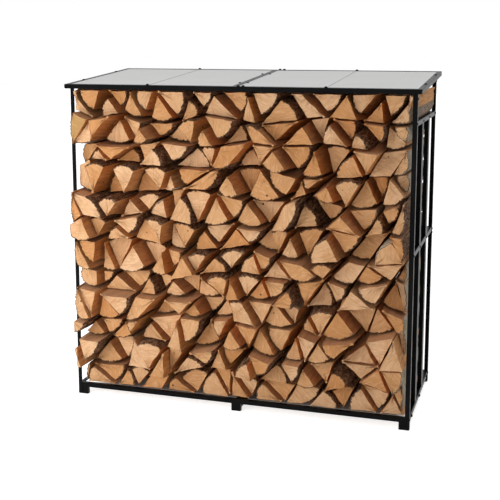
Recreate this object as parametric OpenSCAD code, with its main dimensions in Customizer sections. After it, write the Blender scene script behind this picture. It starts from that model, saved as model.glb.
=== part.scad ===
// Log store: an open rack of folded steel angles and channels under a sloping sheet roof,
// stacked full of split logs. Millimetres, +Z up, the open front faces -Y, the rack is
// centred in X, and the origin is at the bottom centre of the whole.

// Which node to draw

/* [Rack] */

// Width across the outer faces of the legs
frame_width = 1804; // [1300:1:2600]
// Depth across the outer faces of the legs
frame_depth = 762; // [560:1:1100]
// Height of the roof's front edge, at its top
front_height = 1684; // [1300:1:2300]
// Height of the middle rails, at their top
middle_height = 893; // [600:1:1200]
// Opening above the top side and back rails, up to the roof's front edge
top_opening = 154; // [80:1:400]
// Height of the bottom rails, at their top
bottom_height = 63; // [55:1:120]

/* [Roof] */

// How far the roof falls from its back edge to its front edge
roof_fall = 59; // [20:1:140]
// Overhang of the roof past the legs at each side
side_overhang = 23; // [5:1:80]
// Overhang of the roof past the legs at the front and back
end_overhang = 21; // [5:1:80]
// Thickness of the roof sheets
sheet = 1; // [0.6:0.1:3]
// Width of the strip that covers the joint between the roof's halves
cover_width = 28; // [20:1:60]

/* [Profiles] */

// Width of each flange of the folded angles
angle_width = 23; // [18:0.5:40]
// Thickness of the folded steel
steel = 1.5; // [1:0.1:3]
// Width of the channels, across their web
channel_width = 51; // [30:1:80]
// Depth of the channels
channel_depth = 22; // [14:0.5:40]
// Gap left between pieces that are bolted together
fit = 0.3; // [0.1:0.05:0.5]
// Upright slats in each tier of a side
side_slats = 2; // [1:1:4]
// Upright slats in each tier of the back
back_slats = 6; // [3:1:9]
// Slats along the floor
floor_slat_count = 2; // [1:1:4]

/* [Logs] */

// How far the log that stands out most reaches past the front legs
log_reach = 110; // [40:1:160]
// How far behind the front legs the log that lies furthest back starts
log_recess = 60; // [20:1:200]
// How far from the back slats the log that ends furthest from them stops
log_back_room = 70; // [0:1:150]
// Courses of logs in the stack
log_courses = 12; // [6:1:14]
// Pairs of wedges side by side in a course
log_columns = 11; // [6:1:16]
// How unevenly the logs are split, as a share of the spacing
log_jitter = 0.26; // [0:0.01:0.3]
// Share of small neighbouring wedges that are one four-sided log instead
log_whole = 0.5; // [0:0.01:0.6]
// Least rise of a bark side, as a share of its width
bark_rise = 0.1; // [0.04:0.01:0.13]
// Gap between logs that rest on each other
log_gap = 0.6; // [0.4:0.1:0.9]
// Widest gap beside a log that leans on its other neighbour
log_void = 40; // [0:1:46]
// Gap between the stack and the roof's front beam
stack_headroom = 3; // [2:1:60]

/* [Hidden] */

roof_width = frame_width + 2 * side_overhang;
roof_depth = frame_depth + 2 * end_overhang;
slope = atan(roof_fall / roof_depth);
roof_length = roof_depth / cos(slope);
half_roof = roof_width / 2;

// Y runs from the log that reaches furthest forward to the foot of the roof's tilted back edge
total_depth = log_reach + frame_depth + end_overhang + angle_width * sin(slope);
front_y = log_reach - total_depth / 2;
back_y = front_y + frame_depth;
half_frame = frame_width / 2;
top_height = front_height - top_opening;

// Layers from the outside in: leg, rail, slat or foot
rail_layer = steel + fit;
slat_layer = 2 * (steel + fit);
slat_inner = slat_layer + channel_depth;
leg_lift = 2;
floor_top = bottom_height - steel - fit;
// Folds are round: the inside with the steel's thickness as radius, and nothing is set into them
fold = 2 * steel;

// Roof levels in the roof's own tilted frame, down from the top of its edges
sheet_top = -steel - fit;
sheet_under = sheet_top - sheet;
beam_top = sheet_under - fit;
beam_front = (end_overhang + steel + fit) / cos(slope);
beam_back = (end_overhang + frame_depth - steel - fit - (angle_width - beam_top) * sin(slope)) / cos(slope);

// The stack fills the space between the slats, on those of the floor and under the front beam
stack_half = half_frame - slat_inner - 1;
stack_bottom = floor_top;
stack_top = front_height + beam_front * tan(slope) + (beam_top - angle_width) * cos(slope) - stack_headroom;
stack_back = frame_depth - slat_inner - 1;
stack_rise = stack_top - stack_bottom;
wedge_area = stack_half * stack_rise / (log_columns * log_courses);
// Two wedges are one log only where they are small together
whole_limit = 1.5;
// Most of an end's height that the room along one side takes off
room_limit = 0.28;
// Share of the logs that lean to the right, at the left and at the right of the stack
lean_shares = [0.45, 0.85];
bark_steps = 6;
bark_share = 0.9;

// One draw of chances for the whole stack, a set for each corner and wedge of the lattice
chance_kinds = 9;
chance_row = 2 * log_columns + 3;
chances = rands(0, 1, chance_kinds * chance_row * (log_courses + 2), 36);

black_steel = [0.07, 0.07, 0.075];
grey_sheet = [0.78, 0.79, 0.8];
split_wood = [0.83, 0.66, 0.46];

course_names = [for (k = [1 : log_courses]) str("log_course_", k < 10 ? "0" : "", k)];

// Profiles

// What a round of this radius leaves of the corner at the origin
module corner_waste(radius) {
    difference() {
        square(radius);
        translate([radius, radius])
            circle(radius);
    }
}

// The angle's section: its fold is at the origin and its flanges lie along +X and +Y
module angle_section() {
    difference() {
        square(angle_width);
        translate([steel, steel])
            square(angle_width);
        corner_waste(fold);
    }
    translate([steel, steel])
        corner_waste(steel);
}

// The channel's section, web along X at y = 0, flanges towards +Y
module channel_section(depth) {
    half_inside = channel_width / 2 - steel;
    difference() {
        translate([-channel_width / 2, 0])
            square([channel_width, depth]);
        translate([-half_inside, steel])
            square([2 * half_inside, depth]);
        for (side = [0, 1])
            mirror([side, 0])
                translate([-channel_width / 2, 0])
                    corner_waste(fold);
    }
    for (side = [0, 1])
        mirror([side, 0])
            translate([-half_inside, steel])
                corner_waste(steel);
}

// An angle along +X: an upright flange at y = 0 that hangs from z = 0 and a level flange at its top
// that reaches towards +Y. Each flange has its own span, and the shorter one is notched
module hanging_angle(upright, level) {
    start = min(upright[0], level[0]);
    end = max(upright[1], level[1]);
    difference() {
        translate([start, 0, 0])
            rotate([0, 90, 0])
                linear_extrude(height = end - start)
                    angle_section();
        for (span = [[start - 1, level[0]], [level[1], end + 1]])
            if (span[1] - span[0] > 1)
                translate([span[0], steel, -2 * fold])
                    cube([span[1] - span[0], angle_width, 3 * fold]);
        for (span = [[start - 1, upright[0]], [upright[1], end + 1]])
            if (span[1] - span[0] > 1)
                translate([span[0], -fold, -2 * angle_width])
                    cube([span[1] - span[0], 3 * fold, 2 * angle_width - steel]);
    }
}

// An angle along +X whose level flange is a shelf at the bottom
module shelf_angle(half_length) {
    translate([-half_length, 0, -angle_width])
        rotate([90, 0, 90])
            linear_extrude(height = 2 * half_length)
                angle_section();
}

// A channel that lies along +X from x = 0 with its web on top at z = 0
module lying_channel(length, depth) {
    rotate([-90, 0, -90])
        linear_extrude(height = length)
            channel_section(depth);
}

// An upright channel with its web towards -Y
module standing_channel(bottom, top) {
    translate([0, 0, bottom])
        linear_extrude(height = top - bottom)
            channel_section(channel_depth);
}

// Places

// Turns what is drawn for the front so that it serves the back
module at_back() {
    translate([0, back_y, 0])
        rotate(180)
            children();
}

module at_front() {
    translate([0, front_y, 0])
        children();
}

// Turns a piece drawn along +X so that its outer face is on the right side of the rack and its
// +X runs towards the back, from the front legs' outer faces
module at_right() {
    translate([half_frame, front_y, 0])
        rotate(90)
            children();
}

module at_left() {
    mirror([1, 0, 0])
        at_right()
            children();
}

// The roof's own frame: origin at its front edge, +Y up the slope
module on_roof() {
    translate([0, front_y - end_overhang, front_height])
        rotate([slope, 0, 0])
            children();
}

// Legs and feet

// Height of the sheet's underside at a distance behind the roof's front edge
function under_roof(distance) = front_height + distance * tan(slope) + sheet_under / cos(slope);

module leg(top) {
    color(black_steel)
        translate([0, 0, leg_lift])
            linear_extrude(height = top - leg_lift)
                angle_section();
}

module leg_front_left() {
    translate([-half_frame, front_y, 0])
        leg(under_roof(end_overhang) - fit);
}

module leg_front_right() {
    mirror([1, 0, 0])
        leg_front_left();
}

module leg_back_left() {
    translate([-half_frame, back_y, 0])
        mirror([0, 1, 0])
            leg(under_roof(end_overhang + frame_depth - angle_width) - fit);
}

module leg_back_right() {
    mirror([1, 0, 0])
        leg_back_left();
}

// A foot: a short upright channel with a sole
module foot() {
    translate([0, slat_layer, 0]) {
        standing_channel(0, bottom_height - fold - fit);
        translate([-channel_width / 2 + steel, steel, 0])
            cube([channel_width - 2 * steel, channel_depth - steel, steel]);
    }
}

module corner_feet() {
    foot_x = half_frame - slat_layer - channel_width / 2;
    color(black_steel)
        for (x = [-foot_x, foot_x]) {
            at_front()
                translate([x, 0, 0])
                    foot();
            at_back()
                translate([x, 0, 0])
                    foot();
        }
}

module middle_feet() {
    color(black_steel) {
        at_front()
            foot();
        at_back()
            foot();
    }
}

// Rails

// A rail between the two legs of the front or the back
module cross_rail(top) {
    upright_half = half_frame - fold - fit;
    level_half = half_frame - slat_layer;
    color(black_steel)
        translate([0, rail_layer, top])
            hanging_angle([-upright_half, upright_half], [-level_half, level_half]);
}

// A rail from the front leg to the back leg of a side. Its level flange stops short of the
// cross rails' level flanges
module side_rail(top, meets_front_rail) {
    flange_end = rail_layer + angle_width + fit;
    upright_start = meets_front_rail ? slat_layer : fold + fit;
    level_start = meets_front_rail ? flange_end : fold + fit;
    upright = [upright_start, frame_depth - slat_layer];
    level = [level_start, frame_depth - flange_end];
    color(black_steel)
        translate([0, rail_layer, top])
            hanging_angle(upright, level);
}

module front_bottom_rail() {
    at_front()
        cross_rail(bottom_height);
}

module back_bottom_rail() {
    at_back()
        cross_rail(bottom_height);
}

module back_middle_rail() {
    at_back()
        cross_rail(middle_height);
}

module back_top_rail() {
    at_back()
        cross_rail(top_height);
}

module left_bottom_rail() {
    at_left()
        side_rail(bottom_height, true);
}

module right_bottom_rail() {
    at_right()
        side_rail(bottom_height, true);
}

module left_middle_rail() {
    at_left()
        side_rail(middle_height, false);
}

module right_middle_rail() {
    at_right()
        side_rail(middle_height, false);
}

module left_top_rail() {
    at_left()
        side_rail(top_height, false);
}

module right_top_rail() {
    at_right()
        side_rail(top_height, false);
}

// Floor

// The bearer between the two middle feet, under the floor slats
module floor_cross_rail() {
    start = slat_inner + fit;
    color(black_steel)
        translate([0, front_y + start, floor_top - channel_depth - fit])
            rotate(90)
                lying_channel(frame_depth - 2 * start, channel_depth);
}

module floor_slats() {
    half_length = half_frame - rail_layer - fold - fit;
    spacing = frame_depth / (floor_slat_count + 1);
    color(black_steel)
        for (k = [1 : floor_slat_count])
            translate([-half_length, front_y + k * spacing, floor_top])
                lying_channel(2 * half_length, channel_depth);
}

// Upright slats, each stands on one rail and ends behind the rail above it

module slat(bottom, top) {
    color(black_steel)
        translate([0, slat_layer, 0])
            standing_channel(bottom + fit, top - fold - fit);
}

module slats_of_side() {
    spacing = frame_depth / (side_slats + 1);
    for (k = [1 : side_slats])
        translate([k * spacing, 0, 0]) {
            slat(bottom_height, middle_height);
            slat(middle_height, top_height);
        }
}

module slats_of_back(bottom, top) {
    spacing = frame_width / (back_slats + 1);
    at_back()
        for (k = [1 : back_slats])
            translate([k * spacing - half_frame, 0, 0])
                slat(bottom, top);
}

module left_slats() {
    at_left()
        slats_of_side();
}

module right_slats() {
    at_right()
        slats_of_side();
}

module back_lower_slats() {
    slats_of_back(bottom_height, middle_height);
}

module back_upper_slats() {
    slats_of_back(middle_height, top_height);
}

// Roof, drawn in its own tilted frame

module roof_front_beam() {
    color(black_steel)
        on_roof()
            translate([0, beam_front, beam_top])
                shelf_angle(half_frame - fold - fit);
}

module roof_back_beam() {
    color(black_steel)
        on_roof()
            translate([0, beam_back, beam_top])
                rotate(180)
                    shelf_angle(half_frame - fold - fit);
}

// Channels under the seams between the sheets of each half, carried by the beams' shelves
module roof_rafters() {
    start = beam_front + fold + fit;
    color(black_steel)
        on_roof()
            for (x = [-half_roof / 2, half_roof / 2])
                translate([x, start, beam_top])
                    rotate(90)
                        lying_channel(beam_back - fold - fit - start, angle_width - steel - fit);
}

// The two sheets of one half
module half_sheets() {
    lap = fold + fit;
    seam = half_roof / 2;
    color(grey_sheet)
        on_roof()
            for (span = [[fit / 2, seam - fit / 2], [seam + fit / 2, half_roof - lap]])
                translate([span[0], lap, sheet_under])
                    cube([span[1] - span[0], roof_length - 2 * lap, sheet]);
}

module roof_right_sheets() {
    half_sheets();
}

module roof_left_sheets() {
    mirror([1, 0, 0])
        half_sheets();
}

// One edge angle along the front of each half, its level flange between the cover and the side edge
module end_edges() {
    upright = [fit / 2, half_roof - fold - fit];
    level = [cover_width / 2 + fit, half_roof - angle_width - fit];
    for (side = [0, 1])
        mirror([side, 0, 0])
            hanging_angle(upright, level);
}

module roof_front_edge() {
    color(black_steel)
        on_roof()
            end_edges();
}

module roof_back_edge() {
    color(black_steel)
        on_roof()
            translate([0, roof_length, 0])
                rotate(180)
                    end_edges();
}

module roof_side_edges() {
    color(black_steel)
        on_roof()
            for (side = [0, 1])
                mirror([side, 0, 0])
                    translate([half_roof, 0, 0])
                        rotate(90)
                            hanging_angle([0, roof_length], [0, roof_length]);
}

// Two angles back to back under the sheets where the halves meet, their upright flanges between
// the beams' shelves
module roof_centre_joint() {
    upright = [beam_front + angle_width + fit, beam_back - angle_width - fit];
    level = [beam_front + fold + fit, beam_back - fold - fit];
    color(black_steel)
        on_roof()
            for (side = [0, 1])
                mirror([side, 0, 0])
                    translate([-fit / 2, 0, beam_top])
                        rotate(90)
                            hanging_angle(upright, level);
}

// The strip over the centre joint
module roof_centre_cover() {
    start = steel + fit;
    color(black_steel)
        on_roof()
            translate([-cover_width / 2, start, -steel])
                cube([cover_width, roof_length - 2 * start, steel]);
}

// Logs: an uneven triangular lattice fills the stack. Each of its triangles, or two that are
// joined, is the end of one split log

function chance(row, place, kind) = chances[(row * chance_row + place) * chance_kinds + kind];

// Corners of the lattice in a row, and the place of each across the stack from 0 to 1
function row_size(row) = row % 2 == 0 ? log_columns + 1 : log_columns + 2;

function row_place(row, i) =
    row % 2 == 0 ? i / log_columns
    : i == 0 ? 0
    : i > log_columns ? 1
    : (i - 0.5) / log_columns;

function lattice(row, i) =
    let (
        at_side = i == 0 || i == row_size(row) - 1,
        at_end = row == 0 || row == log_courses,
        shift_x = at_side ? 0 : log_jitter * (2 * chance(row, i, 0) - 1) / log_columns,
        shift_z = at_end ? 0 : log_jitter * (2 * chance(row, i, 1) - 1) / log_courses
    )
    [
        stack_half * (2 * (row_place(row, i) + shift_x) - 1),
        stack_bottom + stack_rise * (row / log_courses + shift_z)
    ];

function points_down(row, k) = (row + k) % 2 == 0;

// The k-th triangle from the left between a row of corners and the next row, from its tip
function wedge(row, k) =
    let (m = floor(k / 2), odd_row = row % 2, far = floor((k + 1) / 2))
    points_down(row, k)
    ? [lattice(row, m + odd_row), lattice(row + 1, m + 1), lattice(row + 1, m)]
    : [lattice(row + 1, far), lattice(row, m), lattice(row, m + 1)];

// Whether bark at a level side, which starts at corner m of a row, is on the log above it
function bark_above(row, m) = row == log_courses || (row > 0 && chance(row, m, 2) < 0.5);

// Room along a side that no other log touches
function room(row, place, widest) =
    [for (kind = [5, 6]) (log_gap + widest * (0.3 + 0.7 * chance(row, place, kind))) / 2];

// A side of an end is the room along it at its start and at its end, and how well bark suits it:
// best where one log rests on another, and not at all where the other log has bark there
function touching_side(rank) = [log_gap / 2, log_gap / 2, rank];

// The level side carries the log above it. The floor and the roof's beam meet split sides
function level_side(row, m, above) =
    touching_side(row > 0 && row < log_courses && bark_above(row, m) == above ? 3 : 0);

// The slanting side between a wedge and the next one. A wedge that points down leans on one
// neighbour, with its bark if that isn't on top, and there is room beside the other
function lean_side(row, k, is_down) =
    let (
        last = 2 * log_columns,
        down = points_down(row, k) ? k : k + 1,
        share = lean_shares[0] + (lean_shares[1] - lean_shares[0]) * down / last,
        leans_right = down == 0 || (down < last && chance(row, down, 4) < share),
        at_edge = k < 0 || k >= last,
        touches = !at_edge && (down == k) == leans_right,
        leans_on_bark = bark_above(row + 1, floor(down / 2)),
        beside = room(row, k + 1, at_edge ? 0.15 * log_void : row == 0 ? 0.4 * log_void : log_void)
    )
    touches ? touching_side(leans_on_bark == is_down ? 2 : 0)
    : is_down ? [beside[0], beside[1], 1]
    : [beside[1], beside[0], 1];

function wedge_sides(row, k) =
    points_down(row, k)
    ? [lean_side(row, k, true), level_side(row + 1, floor(k / 2), false), lean_side(row, k - 1, true)]
    : [lean_side(row, k - 1, false), level_side(row, floor(k / 2), true), lean_side(row, k, false)];

// Two neighbouring wedges as one four-sided end
function joined(row, k) =
    let (a = wedge(row, k), b = wedge(row, k + 1))
    points_down(row, k) ? [a[0], b[2], b[0], a[2]] : [a[1], a[2], b[1], b[2]];

function joined_sides(row, k) =
    let (is_down = points_down(row, k), up = is_down ? k + 1 : k, down = is_down ? k : k + 1)
    [
        level_side(row, floor(up / 2), true),
        lean_side(row, k + 1, !is_down),
        level_side(row + 1, floor(down / 2), false),
        lean_side(row, k - 1, is_down)
    ];

function corner(p, i) = p[(i + len(p)) % len(p)];

function unit(v) = v / norm(v);

function sum(values) = values * [for (value = values) 1];

function left_of(v) = [-v[1], v[0]];

// Direction from a corner to the next one
function along(p, i) = unit(corner(p, i + 1) - corner(p, i));

function angle_at(p, i) = acos(-along(p, i - 1) * along(p, i));

function turn_at(p, i) = left_of(along(p, i - 1)) * along(p, i);

function least_turn(p) = min([for (i = [0 : len(p) - 1]) turn_at(p, i)]);

function area(p) = 0.5 * sum([for (i = [0 : len(p) - 1]) cross(p[i], corner(p, i + 1))]);

function is_joined(row, k) =
    k < 2 * log_columns && chance(row, k, 3) < log_whole && least_turn(joined(row, k)) > 0.35
    && area(joined(row, k)) < whole_limit * wedge_area;

// Every end in a course, from the left: the number of its first wedge, its corners and its sides
function ends(row, k = 0) =
    k > 2 * log_columns ? []
    : is_joined(row, k) ? concat([[k, joined(row, k), joined_sides(row, k)]], ends(row, k + 2))
    : concat([[k, wedge(row, k), wedge_sides(row, k)]], ends(row, k + 1));

// Where two lines meet, each given by two points on it
function meeting(a, b) =
    let (u = a[1] - a[0], v = b[1] - b[0])
    a[0] + u * cross(b[0] - a[0], v) / cross(u, v);

// The outline with the room along each side taken off
function inset(p, sides) =
    let (
        lines = [
            for (i = [0 : len(p) - 1])
                let (
                    start = p[i],
                    end = corner(p, i + 1),
                    inward = left_of(unit(end - start)),
                    most = room_limit * max([for (q = p) (q - start) * inward])
                )
                [start + inward * min(sides[i][0], most), end + inward * min(sides[i][1], most)]
        ]
    )
    [for (i = [0 : len(p) - 1]) meeting(corner(lines, i - 1), lines[i])];

// The sides that suit bark in this way and whose two corners are blunt enough for it
function bark_sides(p, sides, rank) = [
    for (i = [0 : len(p) - 1])
        if (sides[i][2] == rank && angle_at(p, i) > 40 && angle_at(p, i + 1) > 40) i
];

// The outline with the side that starts at a corner rounded, as bark rounds it
function with_bark(p, side, rise) =
    let (
        a = corner(p, side - 1),
        q0 = corner(p, side),
        q1 = corner(p, side + 1),
        b = corner(p, side + 2),
        out = -left_of(unit(q1 - q0)),
        height_a = (q0 - a) * out,
        height_b = (q1 - b) * out,
        sag = min(rise * norm(q1 - q0), 0.33 * height_a, 0.33 * height_b),
        s0 = q0 + (a - q0) * sag / height_a,
        s1 = q1 + (b - q1) * sag / height_b
    )
    concat(
        [
            for (i = [0 : bark_steps])
                let (t = i / bark_steps)
                s0 + (s1 - s0) * t + out * sag * 4 * t * (1 - t)
        ],
        [for (i = [2 : len(p) - 1]) corner(p, side + i)]
    );

function log_outline(row, end) =
    let (
        q = inset(end[1], end[2]),
        choices = [for (rank = [3, 2, 1]) each bark_sides(q, end[2], rank)],
        rise = bark_rise * (1 + 0.7 * chance(row, end[0], 7))
    )
    len(choices) > 0 && chance(row, end[0], 8) < bark_share ? with_bark(q, choices[0], rise) : q;

// Where a log's front end is, behind the front legs' outer faces. The left end of the stack
// stands out, the bottom course lies behind the rail, and one log reaches furthest
function log_front(row, end) =
    let (at_left = end[0] < 2, draw = chance(row, end[0], 7))
    row == 0 ? angle_width + slat_layer + 0.1 * log_recess * draw
    : row == log_courses - 1 ? log_recess * (at_left ? -0.2 * draw : 0.8 * draw - 0.2)
    : row == floor(log_courses / 2) && end[0] == 0 ? -log_reach
    : at_left && chance(row, end[0], 6) < 0.8 ? -log_reach * (0.5 + 0.45 * draw)
    : log_recess - (log_recess + 0.8 * log_reach) * draw;

function log_back(row, end) = stack_back - log_back_room * chance(row, end[0], 8);

module split_log(outline, front, back) {
    translate([0, front_y + back, 0])
        rotate([90, 0, 0])
            linear_extrude(height = back - front)
                polygon(outline);
}

module log_course(row) {
    color(split_wood)
        for (end = ends(row))
            split_log(log_outline(row, end), log_front(row, end), log_back(row, end));
}

leg_front_left();
leg_front_right();
leg_back_left();
leg_back_right();
corner_feet();
middle_feet();
front_bottom_rail();
back_bottom_rail();
back_middle_rail();
back_top_rail();
left_bottom_rail();
right_bottom_rail();
left_middle_rail();
right_middle_rail();
left_top_rail();
right_top_rail();
floor_cross_rail();
floor_slats();
left_slats();
right_slats();
back_lower_slats();
back_upper_slats();
roof_front_beam();
roof_back_beam();
roof_rafters();
roof_left_sheets();
roof_right_sheets();
roof_front_edge();
roof_back_edge();
roof_side_edges();
roof_centre_joint();
roof_centre_cover();
for (k = [0 : log_courses - 1])
    log_course(k);
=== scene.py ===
import math

import bmesh
import bpy
import numpy as np
from mathutils import Matrix, Vector


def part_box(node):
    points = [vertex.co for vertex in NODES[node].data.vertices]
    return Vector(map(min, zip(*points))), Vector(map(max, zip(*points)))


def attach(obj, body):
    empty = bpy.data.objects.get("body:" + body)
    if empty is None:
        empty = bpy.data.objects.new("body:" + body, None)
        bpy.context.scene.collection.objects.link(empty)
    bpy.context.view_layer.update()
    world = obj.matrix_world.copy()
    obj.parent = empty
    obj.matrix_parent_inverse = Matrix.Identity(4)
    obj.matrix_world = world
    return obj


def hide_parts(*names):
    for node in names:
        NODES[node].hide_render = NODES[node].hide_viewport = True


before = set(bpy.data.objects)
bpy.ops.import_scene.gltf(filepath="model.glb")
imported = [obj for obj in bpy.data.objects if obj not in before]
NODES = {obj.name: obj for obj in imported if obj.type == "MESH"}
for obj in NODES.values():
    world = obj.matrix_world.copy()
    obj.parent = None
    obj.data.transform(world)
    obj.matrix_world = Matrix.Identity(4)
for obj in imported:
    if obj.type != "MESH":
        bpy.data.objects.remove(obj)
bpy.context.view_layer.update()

MM = 0.001

# The rack: top of the top rails, rear side of the front legs, width of an angle's flange, slats in a tier
RAIL_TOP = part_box("right_top_rail")[1].z
LEG_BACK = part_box("leg_front_right")[1].y
ANGLE_WIDTH = 23 * MM
SIDE_SLATS = 2
BACK_SLATS = 6

# Camera, measured from the foot of the front left leg's outer corner
CAMERA_OFFSET = Vector((2.4011, -4.6378, 1.9198))
CAMERA_YAW = math.radians(17.028)
CAMERA_PITCH = math.radians(9.084)
CAMERA_LENS = 70.65
CAMERA_SHIFT = -0.11

# Steel and roof: colours, and how strong the rain marks are
COAT_BLACK = (0.0018, 0.002, 0.0024)
COAT_DUST = (0.0045, 0.0047, 0.005)
RAIN_MARK = (0.44, 0.44, 0.43)
RAIN_STRENGTH = 0.12

# Sawn ends: tints as stops of a ramp, colours of what stains them, and sizes and strengths of marks
END_TINTS = (
    (0.0, (0.70, 0.475, 0.305)), (0.4, (0.61, 0.365, 0.195)),
    (0.75, (0.54, 0.27, 0.115)), (1.0, (0.47, 0.205, 0.07)),
)
# A darker olive tone that some sawn ends at the stack's left edge take
END_DARK_OLIVE = (0.33, 0.225, 0.085)
END_BLOTCH = (0.43, 0.205, 0.08)
END_RING = (0.42, 0.21, 0.08)
END_RAY = (0.38, 0.19, 0.075)
END_HEART = (0.42, 0.19, 0.065)
END_SAW_MARK = (0.38, 0.20, 0.085)
END_DARK_FIBRE = (0.40, 0.195, 0.075)
END_PALE_FIBRE = (0.76, 0.52, 0.33)
END_FLECK = (0.16, 0.075, 0.03)
END_KNOT = (0.10, 0.042, 0.018)
END_CHECK = (0.11, 0.048, 0.02)
END_RIM = (0.04, 0.02, 0.011)
RING_WIDTH = 4.2 * MM
RING_WOBBLE = 12 * MM
RING_STRENGTH = 0.16
RING_HEIGHT = 0.25
HEART_RADIUS = 50 * MM
CHECK_RADIUS = 100 * MM
CHECK_SHARPNESS = 30
RIM_DEPTH = 10 * MM
RIM_RAGGED = 11 * MM

# Split faces and bark: tints as stops of a ramp, colours of what stains them, the greyer colour painted on
# upward split faces as sky light, and the bands' height
SPLIT_TINTS = (
    (0.0, (0.74, 0.37, 0.15)), (0.4, (0.70, 0.31, 0.105)),
    (0.75, (0.64, 0.245, 0.07)), (1.0, (0.59, 0.20, 0.05)),
)
SPLIT_FIBRE = (0.34, 0.145, 0.045)
SPLIT_DARK_BAND = (0.33, 0.145, 0.055)
SPLIT_PALE_BAND = (0.74, 0.44, 0.21)
SPLIT_KNOT = (0.13, 0.055, 0.022)
# Painted sky light: upward split faces are mixed toward this greyer colour
SPLIT_SKYLIGHT_GREY = (0.40, 0.26, 0.185)
BAND_HEIGHT = 0.6
BARK_TINTS = ((0.34, (0.016, 0.006, 0.003)), (0.5, (0.13, 0.06, 0.029)), (0.66, (0.31, 0.20, 0.135)))
BARK_TORN = (0.50, 0.38, 0.29)
BIRCH_TINTS = ((0.3, (0.08, 0.06, 0.045)), (0.42, (0.40, 0.335, 0.255)), (0.7, (0.54, 0.48, 0.39)))

# Looks of a log: spread of the tint, chances of birch bark at the right edge and elsewhere, chance of a
# darker olive end at the left edge, and how much of birch's colour is in the bark over the right top rail
TINT_SPREAD = (0.9, 1.1)
EDGE_BIRCH = 0.75
OTHER_BIRCH = 0.05
EDGE_DARK_OLIVE = 0.2
OPEN_BIRCH = 0.35
# Textures of two logs lie this far apart along the grain
LOG_SPACING = 0.9

# Edges that bend more than this look sharp
LOG_CREASE = math.radians(38)
STEEL_CREASE = math.radians(40)

# Outlines of logs: edges of a CAD bark side, decimals that tell points apart, and how finely they are drawn
ARC_EDGES = 6
MERGE_DECIMALS = 5
SPLIT_STEP = 7.5 * MM
BARK_STEP = 4.5 * MM
LEAST_STEPS = 3
RING_DISTANCES = np.array((0, 1.2, 4, 9, 16, 26, 40, 60, 90, 135, 195)) * MM
CAP_RINGS = (0.8, 0.52, 0.24)
# A sharp corner is mitred as if it were no sharper than this
MITRE_LIMIT = 0.7
# The pith lies between two distances inside the bark, or off the middle of a log that has none
PITH_RADII = (50 * MM, 150 * MM)
PITH_OFFSET = 60 * MM

# A side this near the stack's left or right edge faces out; its bark bulges by a share of its length, and
# by no more than a limit
EDGE_REACH = 6 * MM
EDGE_BULGE_SHARE = 0.14
EDGE_BULGE = 15 * MM
# Over the top rails no slats stand. A log there reaches out and up, from a start behind the front leg and
# over a run
OPEN_REACH = 24 * MM
OPEN_RISE = 12 * MM
OPEN_BULGE = 11 * MM
OPEN_START = 6 * MM
OPEN_RUN = 60 * MM

# Relief of a log's sides: depth of its waves, their lengths across and along the grain, and least depths
SPLIT_WAVES = np.array(((4.4, 34, 330), (1.2, 9, 110), (0.7, 5, 28))) * MM
SPLIT_INSET = 0.4 * MM
BARK_FURROWS = np.array((3.4, 13, 46)) * MM
BARK_FLAKES = np.array((1.2, 6, 14)) * MM
BARK_INSET = 0.3 * MM
# Chips broken out of the bark at a log's ends: depth, width, run along the log, and how few are deep
CHIP_DEPTH = 8 * MM
CHIP_WIDTH = 4.5 * MM
CHIP_RUN = 7 * MM
CHIP_CONTRAST = 1.5
# Numbers that scatter the values of the noise
NOISE_TURNS = (127.1, 311.7, 74.7)
NOISE_SPREAD = 43758.5453

# Ends of logs: bevel, slope of the cut, ragged bark, how much a log narrows over what distance, and what
# stands for the distance from bark where there is none
END_BEVEL = 1.2 * MM
END_SLOPE = 0.03
RAGGED_DEPTH = 3 * MM
RAGGED_WIDTH = 4 * MM
END_TAPER = 5 * MM
TAPER_RUN = 50 * MM
NO_BARK = 1.0
# Between its ends a log swells by a share of the room beside it: the most room and the furthest neighbour
# that count, and where from the front and back ends it starts to, and over what runs
SWELL_SHARE = 0.49
SWELL_ROOM = 60 * MM
SWELL_REACH = 300 * MM
SWELL_STARTS = (50 * MM, 20 * MM)
SWELL_RUNS = (200 * MM, 140 * MM)

# Bolts: rings of a domed head with a socket, as radius and height, and sizes of heads relative to it
BOLT_PROFILE = np.array((
    (5.6, 0), (5.6, 0.7), (5.0, 1.8), (3.9, 2.6), (2.5, 3.0), (2.1, 3.0), (2.0, 1.4),
)) * MM
BOLT_SIDES = 20
FRAME_HEAD = (1.0, 1.0)
RAIL_HEAD = (1.5, 2.2)
ROOF_HEAD = (1.4, 1.2)
JOINT_HEAD = (1.5, 2.0)
# Bolts on the rack: in from a leg's corner, down from a rail's middle, a leg's top and the middle rail, and
# shares of the depth along a bottom rail
LEG_INSET = 0.55 * ANGLE_WIDTH
SLAT_DROP = 2 * MM
LEG_TOP_DROP = 45 * MM
MIDDLE_DROP = 9 * MM
RAIL_SHARES = (0.108, 0.495, 0.905)
# Bolts on the roof: shares of its depth, height of the edge angles' flange over the sheets, and distances
# from the centre cover, from one another and from the back edge
EDGE_SHARES = (0.255, 0.765)
COVER_SHARES = (0.215, 0.72)
EDGE_FLANGE = 1.8 * MM
COVER_GAP = 7 * MM
JOINT_SPACING = 25 * MM
BACK_INSET = ANGLE_WIDTH / 2 + 2 * MM

# Roof: a face that points up at least this much is a top, and a seam is a thin lip with sloping sides
TOP_FACING = 0.9
SEAM_WIDTH = 4 * MM
SEAM_RISE = 1.2 * MM
SEAM_SLOPE = 0.6 * MM
SEAM_FRONT = 0.8 * ANGLE_WIDTH

# Floor: half its width, its parts along a side, how far it lies below the feet, and how much it glows
FLOOR_REACH = 30
FLOOR_CELLS = 8
FLOOR_DROP = 0.5 * MM
FLOOR_GLOW = 0.75
# How far under the rack the floor's painted shade starts, and how soft the painted shade's edge is
SHADE_SETBACK = 0.2
SHADE_EDGE = 0.1

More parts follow.
